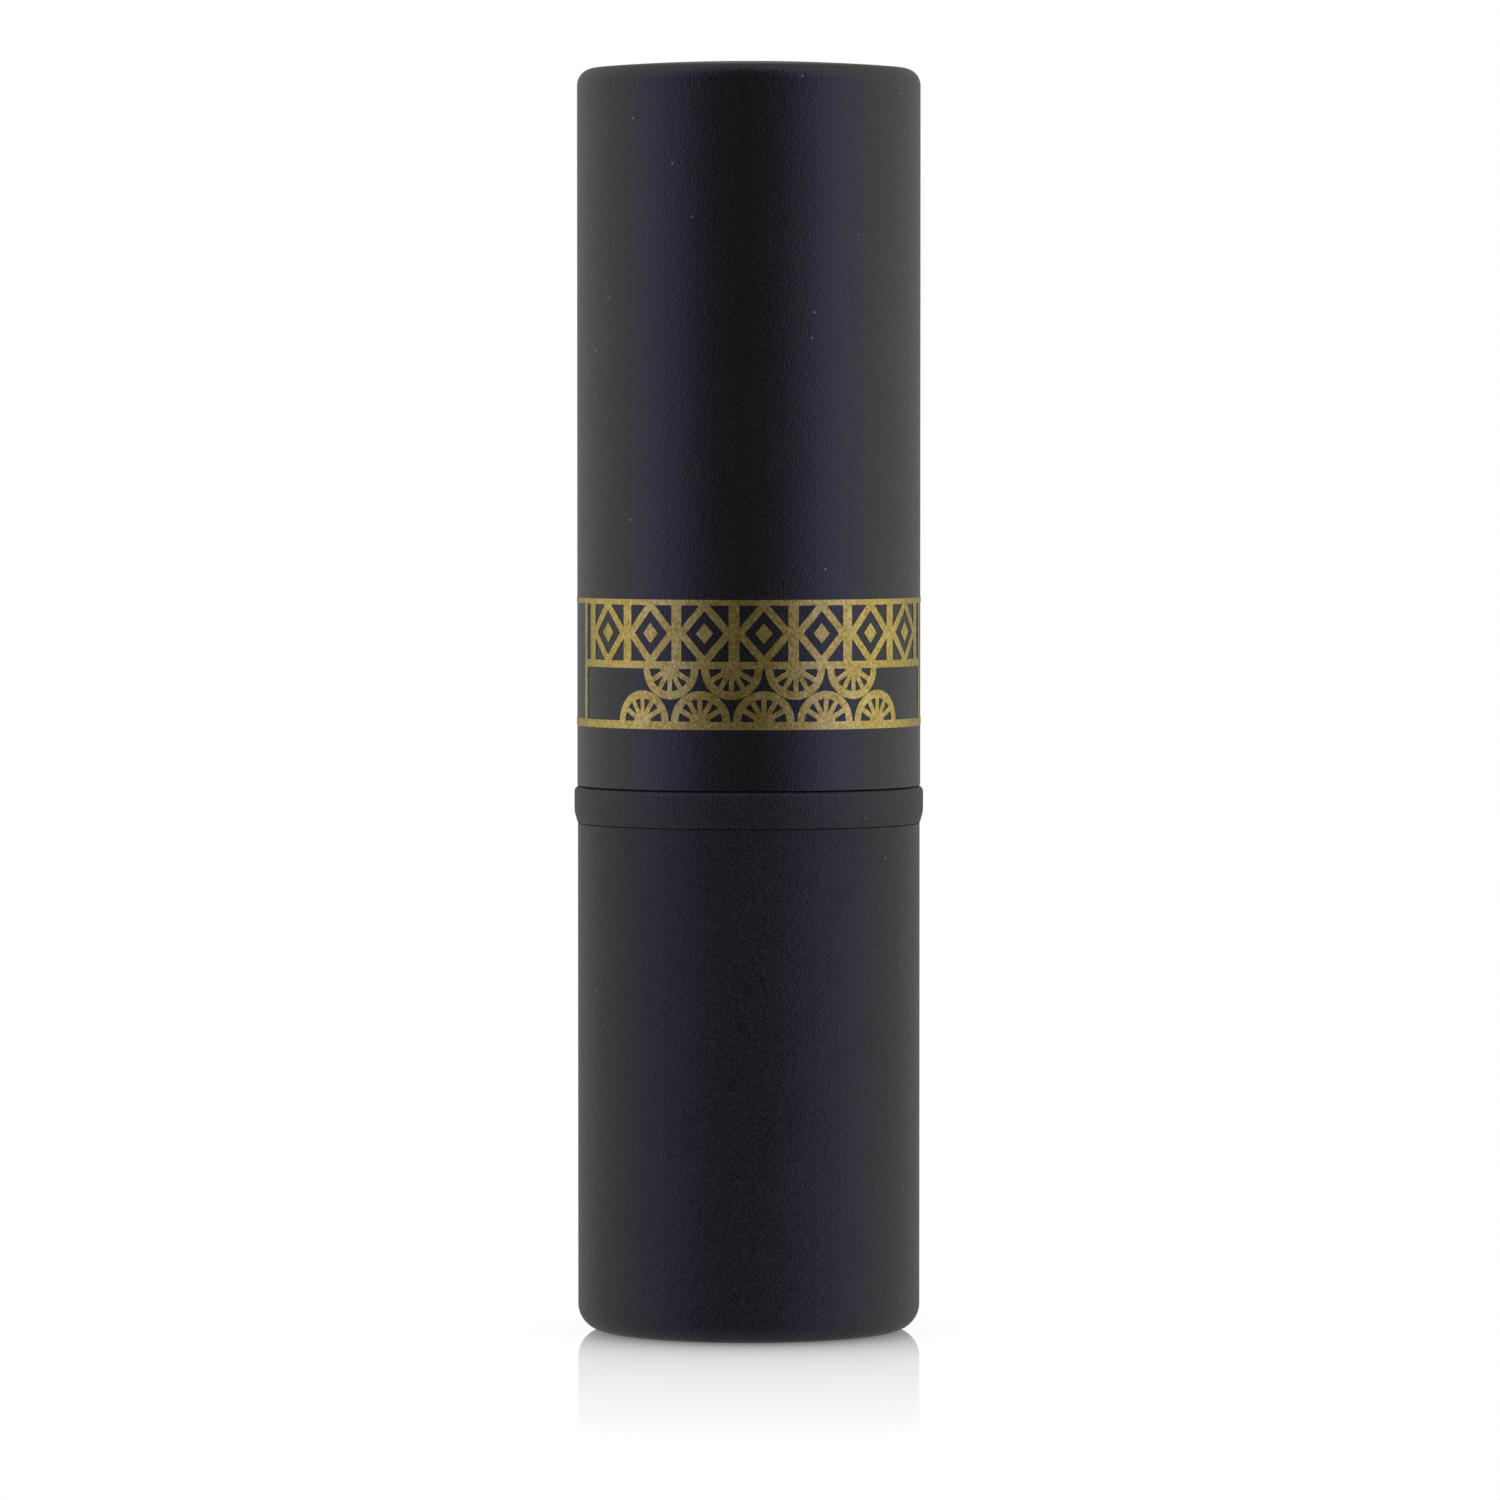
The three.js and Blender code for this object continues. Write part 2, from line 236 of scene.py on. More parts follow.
class Look(Graph):
    """A Principled material and the patterns that shape it."""

    def __init__(self, name, **values):
        self.material = bpy.data.materials.new(name)
        self.material.use_nodes = True
        super().__init__(self.material.node_tree)
        self.shader = self.nodes["Principled BSDF"]
        for socket, value in values.items():
            self.shader.inputs[socket.replace("_", " ")].default_value = value
        self.place = self.nodes.new("ShaderNodeTexCoord").outputs["Object"]

    def stretched(self, scale):
        """The piece's own coordinates, stretched by three factors."""
        mapping = self.nodes.new("ShaderNodeMapping")
        mapping.inputs["Scale"].default_value = scale
        self.join(self.place, mapping.inputs["Vector"])
        return mapping.outputs["Vector"]

    def noise(self, grain, detail=2.0, roughness=0.5, stretch=None):
        """Noise whose grains are about `grain` metres across."""
        node = self.nodes.new("ShaderNodeTexNoise")
        node.inputs["Scale"].default_value = 1 / grain
        node.inputs["Detail"].default_value = detail
        node.inputs["Roughness"].default_value = roughness
        self.join(self.stretched(stretch) if stretch else self.place, node.inputs["Vector"])
        return node.outputs["Fac"]

    def specks(self, spacing, size, share):
        """1 on small round specks about `spacing` metres apart, of which only a share is kept."""
        cells = self.nodes.new("ShaderNodeTexVoronoi")
        cells.inputs["Scale"].default_value = 1 / spacing
        self.join(self.place, cells.inputs["Vector"])
        near = self.math("LESS_THAN", cells.outputs["Distance"], size / spacing)
        chosen = self.math("LESS_THAN", cells.outputs["Color"], share)
        return self.math("MULTIPLY", near, chosen)

    def clouds(self, size, detail=3, strength=1):
        """Soft clouds, from 0 to their strength."""
        return self.spread(self.noise(size, detail=detail), 0, strength)

    def mottle(self, grain, cloud_size):
        """0 to 1 in the pattern of a grain, with broad clouds laid over it."""
        fine = self.spread(grain, 0, 1 - CLOUD_SHARE, *GRAIN_RANGE)
        return self.math("ADD", self.clouds(cloud_size, strength=CLOUD_SHARE), fine)

    def blend(self, share, first, second):
        """A colour between two others."""
        node = self.made("ShaderNodeMix", share, data_type="RGBA")
        self.feed(node.inputs[MIX_FIRST], first)
        self.feed(node.inputs[MIX_SECOND], second)
        return node.outputs[MIX_RESULT]

    def colour(self, source):
        self.join(source, self.shader.inputs["Base Color"])

    def roughness(self, source):
        self.join(source, self.shader.inputs["Roughness"])

    def bump(self, *layers):
        """Bump from (height, depth in metres) layers, one on top of the other."""
        normal = None
        for height, depth in layers:
            node = self.nodes.new("ShaderNodeBump")
            node.inputs["Distance"].default_value = depth
            self.join(height, node.inputs["Height"])
            if normal:
                self.join(normal, node.inputs["Normal"])
            normal = node.outputs["Normal"]
        self.join(normal, self.shader.inputs["Normal"])


def soft_touch_black(name, shine, smooth, rough, depth, dark, light):
    """Matte rubbery lacquer: nearly black, finely grained, with a little dust. Its violet cast comes
    from the light."""
    look = Look(name, Specular_IOR_Level=shine)
    grain = look.noise(BLACK_GRAIN, detail=1.5, roughness=0.7)
    tone = look.blend(look.mottle(grain, cloud_size=3 * MM), dark, light)
    dust = look.specks(spacing=1.6 * MM, size=0.06 * MM, share=0.5)
    look.colour(look.blend(dust, tone, DUST))
    look.roughness(look.spread(grain, smooth, rough))
    look.bump((grain, depth), (look.noise(1.2 * MM, detail=2), 0.012 * MM))
    return look.material


def collar_black():
    """Bare moulded plastic, a plain neutral black."""
    look = Look("collar_black", Specular_IOR_Level=0.42)
    grain = look.noise(BLACK_GRAIN, detail=1.5, roughness=0.7)
    mottled = look.mottle(grain, cloud_size=1.8 * MM)
    tone = look.blend(mottled, (0.0020, 0.0020, 0.0019), (0.0310, 0.0312, 0.0265))
    dust = look.specks(spacing=1.3 * MM, size=0.055 * MM, share=0.5)
    look.colour(look.blend(dust, tone, DUST))
    look.roughness(look.spread(grain, 0.34, 0.48))
    look.bump((grain, 0.06 * MM))
    return look.material


def liner_black():
    """Semi-gloss plastic straight from the mould."""
    look = Look("liner_black", Specular_IOR_Level=0.5)
    look.colour(look.blend(look.clouds(3 * MM, detail=2), (0.011, 0.011, 0.012), (0.016, 0.016, 0.017)))
    look.roughness(look.spread(look.noise(0.3 * MM), 0.28, 0.38))
    look.bump((look.noise(0.5 * MM), 0.005 * MM))
    return look.material


def gold_foil():
    """Hot-stamped foil: matt gold, mottled where it took unevenly, with pinholes."""
    look = Look("gold_foil", Metallic=1.0)
    mottled = look.spread(look.noise(0.22 * MM, detail=4, roughness=0.65), 0, 1, 0.35, 0.65)
    broad = look.clouds(2.2 * MM, detail=2)
    warm = look.blend(mottled, (0.34, 0.232, 0.036), (0.62, 0.470, 0.145))
    pale = look.blend(mottled, (0.42, 0.302, 0.064), (0.68, 0.545, 0.205))
    pinholes = look.specks(spacing=0.55 * MM, size=0.035 * MM, share=0.22)
    look.colour(look.blend(pinholes, look.blend(broad, warm, pale), (0.05, 0.035, 0.015)))
    grain = look.noise(0.12 * MM, detail=2)
    look.roughness(look.spread(grain, 0.28, 0.46))
    look.bump((grain, 0.020 * MM), (mottled, 0.006 * MM))
    return look.material


def gold_metal():
    """Gold-anodised aluminium with faint lines round it from drawing and polishing."""
    look = Look("gold_metal", Metallic=1.0)
    lines = look.noise(1.0 * MM, detail=3, stretch=(0.4, 0.4, 18))
    look.colour(look.blend(look.clouds(4 * MM, detail=2), (0.80, 0.545, 0.215), (0.86, 0.61, 0.265)))
    look.roughness(look.spread(lines, 0.16, 0.27))
    look.bump((lines, 0.004 * MM))
    return look.material


def steel():
    """Turned mild steel, with the marks of the tool round it."""
    look = Look("steel", Metallic=1.0)
    lines = look.noise(1.0 * MM, detail=2, stretch=(0.3, 0.3, 9))
    stain = look.spread(look.noise(2.5 * MM, detail=4), 0, 1, 0.4, 0.75)
    look.colour(look.blend(stain, (0.38, 0.38, 0.385), (0.26, 0.25, 0.24)))
    look.roughness(look.spread(lines, 0.28, 0.48))
    look.bump((lines, 0.015 * MM))
    return look.material


def acetal():
    """Natural acetal: a waxy off-white plastic that lets a little light in."""
    look = Look("acetal", Subsurface_Weight=0.12, Subsurface_Scale=0.8 * MM)
    look.colour(look.blend(look.clouds(3 * MM), (0.76, 0.74, 0.68), (0.82, 0.80, 0.75)))
    look.roughness(look.spread(look.noise(0.25 * MM), 0.34, 0.46))
    look.bump((look.noise(0.4 * MM), 0.006 * MM))
    return look.material


def silicone():
    """Soft translucent grey rubber."""
    look = Look("silicone", Subsurface_Weight=0.2, Subsurface_Scale=0.5 * MM)
    look.colour(look.blend(look.clouds(1.2 * MM), (0.44, 0.46, 0.48), (0.53, 0.55, 0.57)))
    look.roughness(look.spread(look.noise(0.2 * MM), 0.5, 0.65))
    look.bump((look.noise(0.3 * MM), 0.01 * MM))
    return look.material


def label_film(radius):
    """A plain label: an off-white disc with a thin printed ring, and a part in the stick's colour."""
    swatch_edge = -0.18 * radius  # the swatch is what lies beyond this, inside the ring
    ring_inner = 0.84 * radius
    ring_outer = 0.87 * radius
    look = Look("label_film")
    out = look.vector("LENGTH", look.stretched((1, 1, 0)))["Value"]
    fibres = look.clouds(0.4 * MM, detail=4)
    paper = look.blend(fibres, (0.62, 0.59, 0.51), (0.70, 0.67, 0.59))
    ink = look.blend(fibres, (0.28, 0.012, 0.030), (0.34, 0.016, 0.038))
    swatch = look.math("MULTIPLY", look.math("LESS_THAN", look.part("Y", look.place), swatch_edge),
                       look.math("LESS_THAN", out, ring_inner))
    ring = look.math("MULTIPLY", look.math("GREATER_THAN", out, ring_inner),
                     look.math("LESS_THAN", out, ring_outer))
    look.colour(look.blend(swatch, look.blend(ring, paper, (0.03, 0.03, 0.034)), ink))
    look.roughness(look.spread(fibres, 0.5, 0.6, 0, 1))
    look.bump((fibres, 0.004 * MM))
    return look.material


def lipstick_wax():
    """Creamy wax, with faint streaks along it from the mould and a bloom here and there."""
    look = Look("lipstick_wax", Subsurface_Weight=0.25, Subsurface_Scale=0.9 * MM,
                Subsurface_Radius=(1.0, 0.25, 0.18), Specular_IOR_Level=0.55)
    streaks = look.noise(0.9 * MM, detail=3, stretch=(3, 3, 0.18))
    bloom = look.spread(look.noise(3.5 * MM, detail=3), 0, 1, 0.45, 0.75)
    deep = look.blend(look.spread(streaks, 0, 1), (0.355, 0.010, 0.024), (0.405, 0.014, 0.031))
    look.colour(look.blend(bloom, deep, (0.425, 0.022, 0.040)))
    look.roughness(look.spread(look.noise(0.5 * MM, detail=3), 0.20, 0.32))
    look.bump((streaks, 0.010 * MM), (look.noise(0.25 * MM), 0.002 * MM))
    return look.material


# ---------------------------------------------------------------- base

def foot_radius():
    """The outer radius of the flat that the case stands on."""
    return reach("base_shell", high=heights("base_shell")[0] + 0.001 * MM)[1]


def base_outer(look):
    """The outer can of the base, with a recess under its foot."""
    bottom, top = heights("base_shell")
    radius = radius_of("base_shell")
    bore = radius_of("base_liner") + TIGHT_GAP
    recess = radius_of("shade_label") + 0.3 * MM
    depth = 0.3 * MM
    rounding = radius - foot_radius()
    floor = heights("base_liner")[0] - 0.2 * MM
    rim = top + RIM_SHIFT
    shape = turned(outline([
        (0, bottom + depth), (recess, bottom + depth, 0.08 * MM), (recess, bottom, 0.12 * MM),
        (radius, bottom, rounding), (radius, rim, 0.05 * MM), (bore, rim, 0.05 * MM),
        (bore, floor, 0.4 * MM), (0, floor),
    ]), closed=False)
    return new_piece("base_outer", shape, "base", "base_shell", look)


def base_inner(look):
    """The liner of the base, with a web across it between the weight and the guide tube."""
    bottom, top = heights("base_liner")
    radius = radius_of("base_liner")
    web_top = heights("guide_tube")[0] - TIGHT_GAP
    web_bottom = heights("base_weight")[1] + LOOSE_GAP
    bore = reach("base_liner", low=top - 1 * MM)[0]
    weight_bore = reach("base_liner", high=bottom + 1 * MM)[0]
    glue_hole = reach("base_liner")[0]
    shape = turned(outline([
        (glue_hole, web_bottom, 0.1 * MM), (weight_bore, web_bottom, 0.2 * MM),
        (weight_bore, bottom, 0.1 * MM), (radius, bottom, 0.15 * MM), (radius, top, 0.12 * MM),
        (bore, top, 0.12 * MM), (bore, web_top, 0.3 * MM), (glue_hole, web_top, 0.1 * MM),
    ]))
    return new_piece("base_inner", shape, "base", "base_liner", look)


def weight(look):
    """A turned steel slug with a hole through it."""
    bottom, top = heights("base_weight")
    bore, radius = reach("base_weight")
    chamfer = 0.5 * MM
    shape = turned(outline([
        (bore, bottom, 0.2 * MM), (radius - chamfer, bottom), (radius, bottom + chamfer),
        (radius, top - chamfer), (radius - chamfer, top), (bore, top, 0.2 * MM),
    ]))
    return new_piece("weight", shape, "base", "base_weight", look)


def foot_label(look):
    bottom, top = heights("shade_label")
    radius = radius_of("shade_label")
    edge = 0.03 * MM
    shape = turned(outline([(0, bottom), (radius, bottom, edge), (radius, top, edge), (0, top)]),
                   closed=False)
    return new_piece("foot_label", shape, "base", "shade_label", look)


def guide(look):
    """The guide tube: closed at the foot, slotted for the lugs of the cup, flanged at the top."""
    bottom, top = heights("guide_tube")
    skirt = radius_of("guide_tube")
    shoulder = heights("brake_ring")[0]
    bore = radius_of_cup() + LOOSE_GAP
    tube = reach("guide_tube", low=shoulder + 5 * MM, high=top - 2 * MM)[1]
    flange = reach("guide_tube", low=top - 0.2 * MM)[1]
    flange_bottom = heights("helical_sleeve")[1] + LOOSE_GAP
    floor = bottom + 1.2 * MM
    shape = turned(outline([
        (0, bottom), (skirt, bottom, 0.4 * MM), (skirt, shoulder, 0.2 * MM), (tube, shoulder, 0.1 * MM),
        (tube, flange_bottom), (flange, flange_bottom, 0.1 * MM), (flange, top, 0.1 * MM),
        (bore, top, 0.2 * MM), (bore, floor, 0.5 * MM), (0, floor),
    ]), closed=False)
    piece = new_piece("guide", shape, "base", "guide_tube", look)
    cut_slots(piece, reach_of_slot=2 * tube)
    return piece


def radius_of_cup():
    """The radius of the cup without its lugs, which stick out below its top."""
    return reach("bullet_cup", low=heights("bullet_cup")[1] - 1 * MM)[1]


def lug_corners():
    """The corners of what sticks out of the cup."""
    body = radius_of_cup() + 0.5 * MM
    return [v.co for v in frame["nodes"]["bullet_cup"].data.vertices if v.co.xy.length > body]


def lug_height():
    """The height of the middle of the lugs at rest."""
    levels = [corner.z for corner in lug_corners()]
    return (min(levels) + max(levels)) / 2


def lug_radius():
    return max(abs(corner.y) for corner in lug_corners())


def joint(name):
    return next(entry for entry in frame["joints"] if entry["name"] == name)


def cut_slots(piece, reach_of_slot):
    """Cuts the round-ended slots that the lugs climb in, through both walls at once."""
    travel = joint("carrier_rise")["range_m"][1]
    half_width = lug_radius() + LUG_PLAY
    low = lug_height()
    steps = 24
    ring = []
    for middle, start in ((low + travel, 0), (low, math.pi)):
        for i in range(steps + 1):
            angle = start + math.pi * i / steps
            ring.append((half_width * math.cos(angle), middle + half_width * math.sin(angle)))
    tool_shape = bmesh.new()
    sides = [[tool_shape.verts.new((x, y, z)) for y, z in ring] for x in (-reach_of_slot, reach_of_slot)]
    tool_shape.faces.new(sides[0])
    tool_shape.faces.new(sides[1])
    for i in range(len(ring)):
        j = (i + 1) % len(ring)
        tool_shape.faces.new([sides[0][i], sides[0][j], sides[1][j], sides[1][i]])
    bmesh.ops.recalc_face_normals(tool_shape, faces=tool_shape.faces)
    apply_boolean(piece, tool_shape, "DIFFERENCE")


def apply_boolean(piece, tool_shape, operation):
    """Cuts a tool out of a piece, or joins it on, and keeps the result as the piece's mesh."""
    mesh = bpy.data.meshes.new("tool")
    tool_shape.to_mesh(mesh)
    tool_shape.free()
    tool = bpy.data.objects.new("tool", mesh)
    bpy.context.scene.collection.objects.link(tool)
    change = piece.modifiers.new("change", "BOOLEAN")
    change.operation = operation
    change.solver = "EXACT"
    change.object = tool
    piece.modifiers["even_normals"].show_viewport = False
    evaluated = piece.evaluated_get(bpy.context.evaluated_depsgraph_get())
    made = bpy.data.meshes.new_from_object(evaluated)
    cleaned = bmesh.new()
    cleaned.from_mesh(made)
    bmesh.ops.remove_doubles(cleaned, verts=cleaned.verts, dist=SAME_PLACE)
    bmesh.ops.dissolve_degenerate(cleaned, edges=cleaned.edges, dist=SAME_PLACE)
    cleaned.to_mesh(made)
    cleaned.free()
    made.set_sharp_from_angle(angle=SHARP)
    piece.modifiers.remove(change)
    piece.modifiers["even_normals"].show_viewport = True
    piece.data = made
    bpy.data.objects.remove(tool)


def brake(look):
    """A soft ring of round section."""
    bottom, top = heights("brake_ring")
    inner, outer = reach("brake_ring")
    section = (top - bottom) / 2
    steps = 32
    points = []
    for i in range(steps):
        angle = TURN * i / steps
        points.append(((inner + outer) / 2 + section * math.cos(angle),
                       (bottom + top) / 2 + section * math.sin(angle)))
    return new_piece("brake", turned(points), "base", "brake_ring", look)


# ---------------------------------------------------------------- barrel

def barrel(look):
    """The drawn metal tube that the cap clicks over, its lip rolled in over the mechanism."""
    bottom, top = heights("barrel_sleeve")
    bead_radius = radius_of("barrel_sleeve")
    bore, radius = reach("barrel_sleeve", high=bottom + 1 * MM)
    lip = reach("barrel_sleeve", low=top - 0.4 * MM)[0]
    bead = heights("collar_ring")[1] + 3 * MM
    wall = 0.35 * MM
    shape = turned(outline([
        (bore, bottom), (radius, bottom, 0.1 * MM), (radius, bead - 0.5 * MM, 1.0 * MM),
        (bead_radius, bead, 0.6 * MM), (radius, bead + 0.5 * MM, 1.0 * MM), (radius, top, 0.7 * MM),
        (lip, top, 0.16 * MM), (lip, top - wall, 0.1 * MM), (bore, top - wall, 0.35 * MM),
    ]))
    return new_piece("barrel", shape, "barrel", "barrel_sleeve", look)


def cam_sleeve(look):
    """The sleeve with the two helical grooves that drive the lugs, cut into its bore."""
    bottom, top = heights("helical_sleeve")
    radius = radius_of("helical_sleeve")
    bore = reach("helical_sleeve", low=top - 0.2 * MM)[0]
    travel = joint("carrier_rise")["range_m"][1]
    lead = travel / (joint("barrel_turn")["range_deg"][1] / 360)
    slope = math.atan2(lead, TURN * bore)
    half_width = (lug_radius() + LUG_PLAY) / math.cos(slope)
    depth = 0.65 * MM
    edge = 0.2 * MM
    lug = lug_height()
    run_out = 1.5 * MM  # how far a groove goes on past the lug's travel
    first = lug - run_out
    last = lug + travel + run_out
    rows = 120

    def groove(outer, angle, height):
        if outer > bore + depth / 2:
            return outer
        along = (height - lug - lead * angle / TURN) % (lead / 2)
        away = min(along, lead / 2 - along)
        share = min(1, max(0, (half_width - away) / edge))
        inside = min(1, max(0, (height - first) / edge), max(0, (last - height) / edge))
        return outer + depth * share * inside

    wall = [(bore, top + (bottom - top) * i / rows) for i in range(rows + 1)]
    shape = turned([(radius, bottom), (radius, top)] + wall, steps=FINE_STEPS // 2, relief=groove)
    return new_piece("cam_sleeve", shape, "barrel", "helical_sleeve", look)


def collar(look):
    """The ring between cap and base: a rounded top edge, and a longer taper to its foot."""
    bottom, top = heights("collar_ring")
    bore, radius = reach("collar_ring")
    foot = reach("collar_ring", high=bottom + 0.05 * MM)[1]
    shape = turned(outline([
        (bore, bottom), (foot, bottom, 0.05 * MM), (radius, bottom + 0.65 * MM, 1.4 * MM),
        (radius, top, 0.35 * MM), (bore, top),
    ]))
    return new_piece("collar", shape, "barrel", "collar_ring", look)


# ---------------------------------------------------------------- carrier

def cup(look):
    """The cup that holds the stick, with a lug on each side."""
    bottom, top = heights("bullet_cup")
    radius = radius_of_cup()
    bore = radius_of("lipstick_bullet") + LOOSE_GAP
    vent = reach("bullet_cup")[0]
    floor = heights("lipstick_bullet")[0] - TIGHT_GAP
    shape = turned(outline([
        (vent, bottom, 0.1 * MM), (radius, bottom, 0.4 * MM), (radius, top, 0.12 * MM),
        (bore, top, 0.16 * MM), (bore, floor, 0.4 * MM), (vent, floor, 0.1 * MM),
    ]))
    piece = new_piece("cup", shape, "carrier", "bullet_cup", look)
    root = bore + (radius - bore) / 4
    tip = radius_of("bullet_cup")
    lugs = bmesh.new()
    for side in (1, -1):
        lug = outline([(0, root), (lug_radius(), root), (lug_radius(), tip, 0.15 * MM), (0, tip)])
        start = len(lugs.verts)
        add_turned(lugs, lug, steps=48, closed=False)
        lugs.verts.ensure_lookup_table()
        across = Matrix.Translation((0, 0, lug_height())) @ Matrix.Rotation(side * math.pi / 2, 4, "Y")
        bmesh.ops.transform(lugs, matrix=across, verts=lugs.verts[start:])
    bmesh.ops.recalc_face_normals(lugs, faces=lugs.faces)
    apply_boolean(piece, lugs, "UNION")
    return piece


def stick(look):
    """The stick of lipstick: a rounded crown, cut off at a slant, with a soft edge to the cut. The cut
    lies in the frame's largest sloping face."""
    bottom = heights("lipstick_bullet")[0]
    radius = radius_of("lipstick_bullet")
    crown = 2.6 * MM
    foot = 0.5 * MM
    tip = heights("barrel_sleeve")[1] - 1.4 * MM
    wall_rows = 24
    points = outline([(0, bottom), (radius, bottom, foot), (radius, tip, crown), (0, tip)])
    start = max(i for i, point in enumerate(points) if point.y < bottom + 1.2 * foot)
    low, high = points[start], points[start + 1]
    wall = [low.lerp(high, i / wall_rows) for i in range(1, wall_rows)]
    shape = turned(points[:start + 1] + wall + points[start + 1:], closed=False)
    slanted = [face for face in frame["nodes"]["lipstick_bullet"].data.polygons
               if 0.2 < face.normal.z < 0.9 and face.center.z > bottom + 5 * MM]
    cut = max(slanted, key=lambda face: face.area)
    everything = shape.verts[:] + shape.edges[:] + shape.faces[:]
    made = bmesh.ops.bisect_plane(shape, geom=everything, plane_co=cut.center, plane_no=cut.normal,
                                  clear_outer=True)
    rim = [part for part in made["geom_cut"] if isinstance(part, bmesh.types.BMEdge)]
    filled = bmesh.ops.contextual_create(shape, geom=rim)
    bmesh.ops.bevel(shape, geom=[edge for edge in filled["faces"][0].edges], offset=0.45 * MM,
                    segments=5, profile=0.5, affect="EDGES", clamp_overlap=True)
    return new_piece("stick", shape, "carrier", "lipstick_bullet", look)


# ---------------------------------------------------------------- cap

def crown_sag(radius, top):
    """How much lower the domed top would be at the cap's full radius, from a corner part way out."""
    corners = [v.co for v in frame["nodes"]["cap_shell"].data.vertices if v.co.z > top - 0.6 * MM]
    corner = max((corner for corner in corners if corner.xy.length < 0.8 * radius),
                 key=lambda corner: corner.xy.length)
    return (top - corner.z) / (corner.xy.length / radius) ** 2


def cap_outer(look):
    """The outer can of the cap, mouth down, its top slightly domed."""
    bottom, top = heights("cap_shell")
    radius = radius_of("cap_shell")
    bore = radius_of("cap_liner") + TIGHT_GAP
    ceiling = heights("cap_liner")[1] + TIGHT_GAP
    sag = crown_sag(radius, top)
    rounding = 1.0 * MM
    mouth = bottom - RIM_SHIFT
    rings = 10
    crown = [(radius * i / rings, top - sag * (i / rings) ** 2) for i in range(rings - 2, 0, -1)]
    shape = turned(outline([
        (0, ceiling), (bore, ceiling, 0.4 * MM), (bore, mouth, 0.05 * MM),
        (radius, mouth, 0.05 * MM), (radius, top - sag, rounding), *crown, (0, top),
    ]), closed=False)
    return new_piece("cap_outer", shape, "cap", "cap_shell", look)


def cap_inner(look):
    """The inner cap, with upright ribs in its bore that grip the barrel."""
    bottom, top = heights("cap_liner")
    radius = radius_of("cap_liner")
    ribs = 8
    rib_depth = 0.1 * MM
    rib_half_angle = 0.035  # radians
    rib_ramp = 0.3 * MM  # the length in which a rib rises at each end
    rib_bottom = bottom + 1.5 * MM
    rib_top = rib_bottom + 13 * MM
    bore = reach("cap_liner", low=bottom + 0.5 * MM, high=top - 5 * MM)[0] + rib_depth
    ceiling = top - 0.6 * MM
    rows = [rib_bottom - 0.2 * MM, rib_bottom, rib_bottom + rib_ramp / 2, rib_bottom + rib_ramp,
            rib_top - rib_ramp, rib_top - rib_ramp / 2, rib_top, rib_top + 0.2 * MM]

    def rib(out, angle, height):
        if abs(out - bore) > 0.05 * MM:
            return out
        pitch = TURN / ribs
        away = abs((angle + pitch / 2) % pitch - pitch / 2)
        across = max(0, 1 - (away / rib_half_angle) ** 2)
        ends = min(1, max(0, (height - rib_bottom) / rib_ramp), max(0, (rib_top - height) / rib_ramp))
        return out - rib_depth * math.sqrt(across) * ends

    shape = turned(outline([
        (0, ceiling), (bore, ceiling, 0.5 * MM), *[(bore, z) for z in reversed(rows)],
        (bore, bottom, 0.25 * MM), (radius, bottom, 0.08 * MM), (radius, top, 0.3 * MM), (0, top),
    ]), closed=False, steps=FINE_STEPS, relief=rib)
    return new_piece("cap_inner", shape, "cap", "cap_liner", look)


# ---------------------------------------------------------------- the gold band

# The band has two panels, each seen whole from one side, and plain lines between them. The pattern is
# laid out flat, in metres along the cap's surface, and then bent round it.
PANELS = 2
PANEL_START = math.radians(-90 - 71)
PANEL_END = math.radians(-90 + 81)
TOP_LINE = 0.32 * MM
MIDDLE_LINE = 0.42 * MM
BOTTOM_LINE = 0.46 * MM
END_LINE = 0.42 * MM
STROKE = 0.62 * MM
LOZENGES = 7
LOZENGE_STROKE = 0.44 * MM
LOZENGE_CORE = 0.36  # the small lozenge, as a share of the large one
LOZENGE_MARGIN = 0.95 * MM
SUNS = 5
SUN_MARGIN = 4.0 * MM
SUN_STROKE = 0.46 * MM
SUN_SHARE = 0.48  # a sun's outer radius, as a share of the room for one
SUN_CORE = 0.34  # the radius of its half disc, as a share of the outer one
SUN_STEPS = 28
RAYS = 5
RAY_STROKE = 0.30 * MM
LOWER_SHARE = 0.485  # how much of the two rows' height the row of suns takes
OVERLAP = 0.02 * MM  # how far shapes run into the lines that they stand on
FOIL_STEP = math.radians(2)  # how finely the flat pattern is cut before it is bent


def bar(left, bottom, right, top):
    return [(left, bottom), (right, bottom), (right, top), (left, top)]


def spoke(start, end, width):
    """A straight stroke between two points."""
    start, end = Vector(start), Vector(end)
    side = (end - start).orthogonal().normalized() * width / 2
    return [tuple(start - side), tuple(end - side), tuple(end + side), tuple(start + side)]


def lozenge_row(left, right, bottom, top):
    """Upright bars with a lozenge between each two, and a small solid lozenge inside it."""
    pitch = (right - left - STROKE) / LOZENGES
    middle = (bottom + top) / 2
    half_width = (pitch - STROKE) / 2
    half_height = (top - bottom) / 2
    shapes = [bar(left + pitch * i, bottom, left + pitch * i + STROKE, top) for i in range(LOZENGES + 1)]
    for i in range(LOZENGES):
        x = left + pitch * (i + 0.5) + STROKE / 2
        corners = [(x - half_width, middle), (x, middle - half_height),
                   (x + half_width, middle), (x, middle + half_height)]
        for first, second in zip(corners, corners[1:] + corners[:1]):
            shapes.append(spoke(first, second, LOZENGE_STROKE))
        shapes.append([(x + (cx - x) * LOZENGE_CORE, middle + (cy - middle) * LOZENGE_CORE)
                       for cx, cy in corners])
    return shapes


